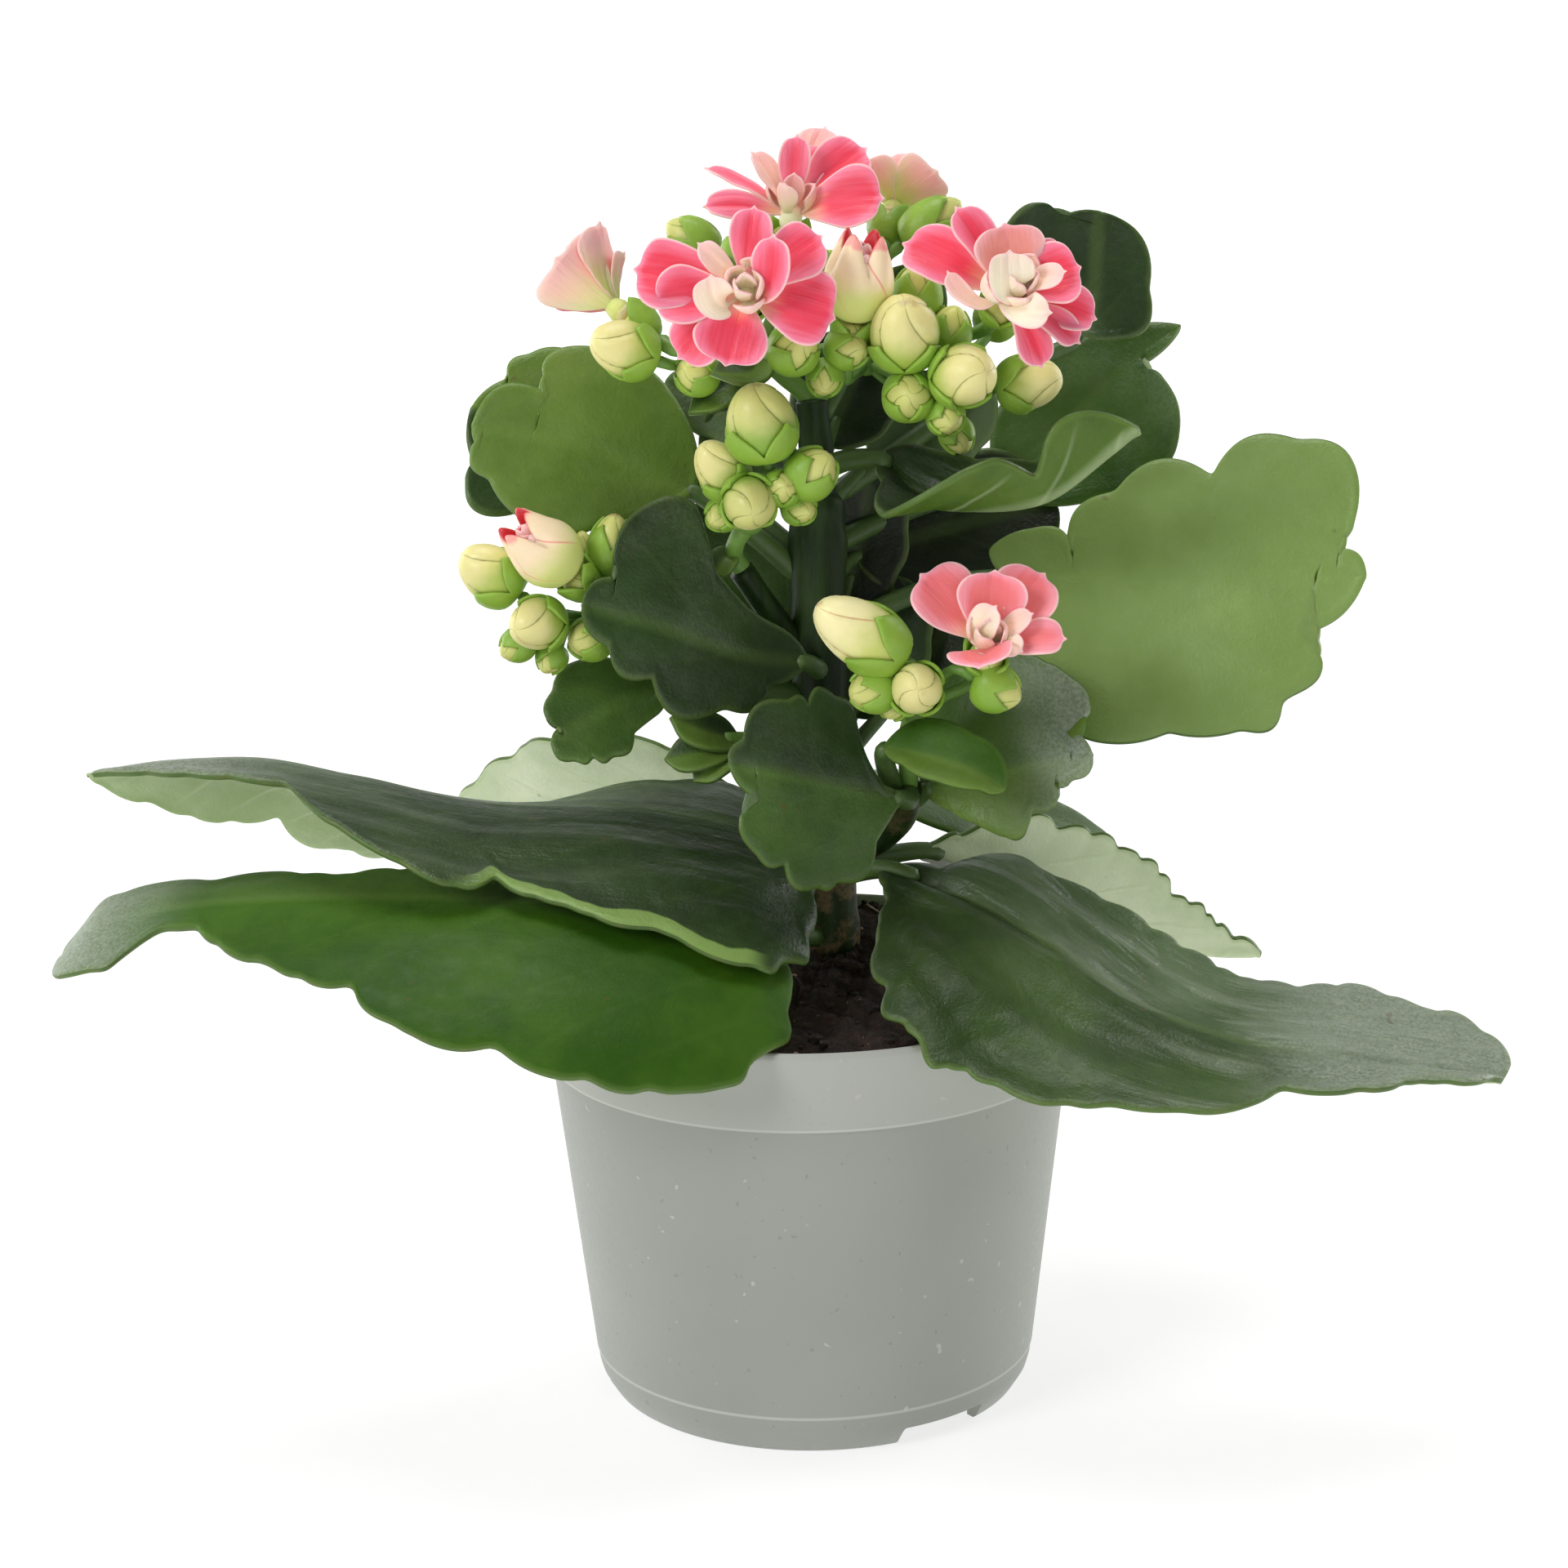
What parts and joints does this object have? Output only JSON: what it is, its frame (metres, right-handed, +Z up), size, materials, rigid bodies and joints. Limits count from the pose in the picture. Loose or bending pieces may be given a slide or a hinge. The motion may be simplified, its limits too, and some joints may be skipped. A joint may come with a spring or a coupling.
{
  "type": "potted kalanchoe",
  "caption": "Double-flowered kalanchoe with scalloped fleshy leaves, sprays of buds and frilled blooms, rooted in a small tapered round grower pot.",
  "frame": {"origin": "middle of the bounding box in plan, on the surface that the pot stands on", "axes": "+Z up, +X to the right as seen from the front, +Y away from the front, so that the pictured side faces -Y"},
  "size_m": [0.1788, 0.1146, 0.1621],
  "materials": {
    "pot": "satin light grey moulded plastic",
    "soil": "dark damp crumbly peat",
    "stem": "smooth fleshy green stem",
    "leaf": "waxy fleshy green leaf",
    "bud": "smooth yellow-green bud and calyx",
    "petal": "soft matte pink petal"
  },
  "bodies": {
    "root": {"axil_shoot": "bud", "bloom_back_top": "petal", "bloom_far_back": "petal", "bloom_far_left": "petal", "bloom_front_left": "petal", "bloom_front_right": "petal", "bloom_low_right": "petal", "half_open_centre": "petal", "half_open_left": "petal", "leaf_back_left": "leaf", "leaf_back_low": "leaf", "leaf_back_right": "leaf", "leaf_back_right_hidden": "leaf", "leaf_low_left_lower": "leaf", "leaf_low_left_upper": "leaf", "leaf_low_right": "leaf", "leaf_mid_centre": "leaf", "leaf_mid_left_behind": "leaf", "leaf_mid_left_dark": "leaf", "leaf_mid_left_large": "leaf", "leaf_mid_left_small": "leaf", "leaf_mid_right_dark": "leaf", "leaf_mid_small_folded": "leaf", "leaf_right_large": "leaf", "leaf_right_narrow": "leaf", "leaf_right_upper_back": "leaf", "leaf_top_right": "leaf", "pot": "pot", "soil": "soil", "spray_centre": "bud", "spray_left": "bud", "spray_low_right": "bud", "spray_top_left": "bud", "spray_top_right": "bud", "stem": "stem"}
  },
  "joints": []
}
